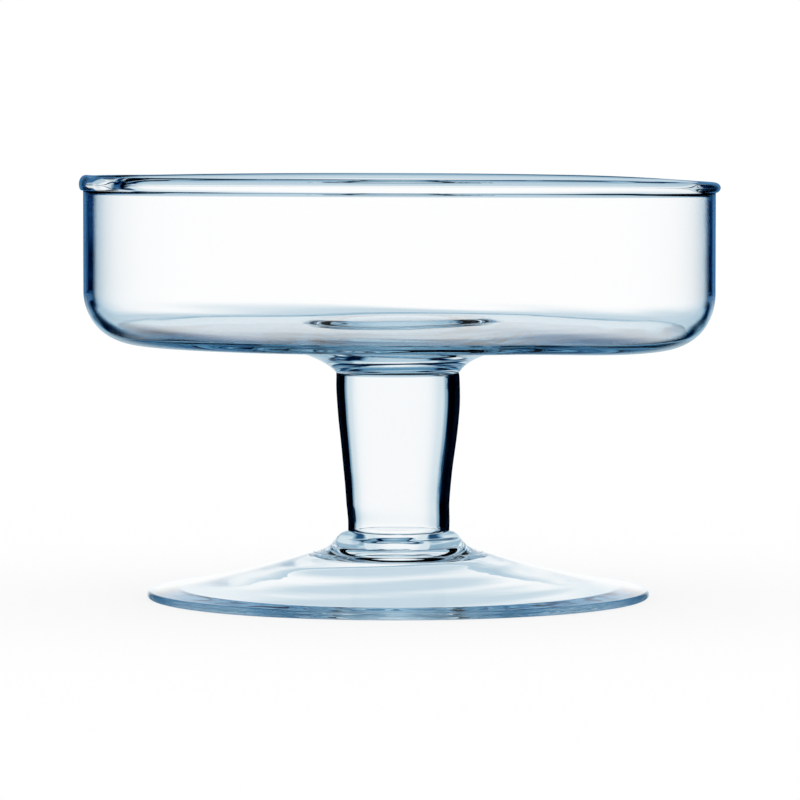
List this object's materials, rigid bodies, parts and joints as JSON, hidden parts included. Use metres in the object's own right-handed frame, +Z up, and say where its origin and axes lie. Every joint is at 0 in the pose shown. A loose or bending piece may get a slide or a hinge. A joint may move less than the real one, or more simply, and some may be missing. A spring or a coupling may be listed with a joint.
{
  "type": "stemmed glass bowl",
  "caption": "Clear glass footed bowl: wide shallow bowl with an upright wall and rolled lip, on a short hollow stem and a low conical foot.",
  "frame": {"origin": "middle of the foot, on the surface that the glass stands on", "axes": "+Z up along the stem, -Y towards the viewer, +X to the viewer's right; the lap in the rim is at -X"},
  "size_m": [0.1203, 0.12, 0.079],
  "materials": {
    "clear_glass": "clear soda-lime glass with a faint blue tint, fire-polished"
  },
  "bodies": {
    "root": {"foot": "clear_glass", "foot_collar": "clear_glass", "stem": "clear_glass", "bowl_join": "clear_glass", "bowl": "clear_glass", "rim_bead": "clear_glass"}
  },
  "joints": []
}
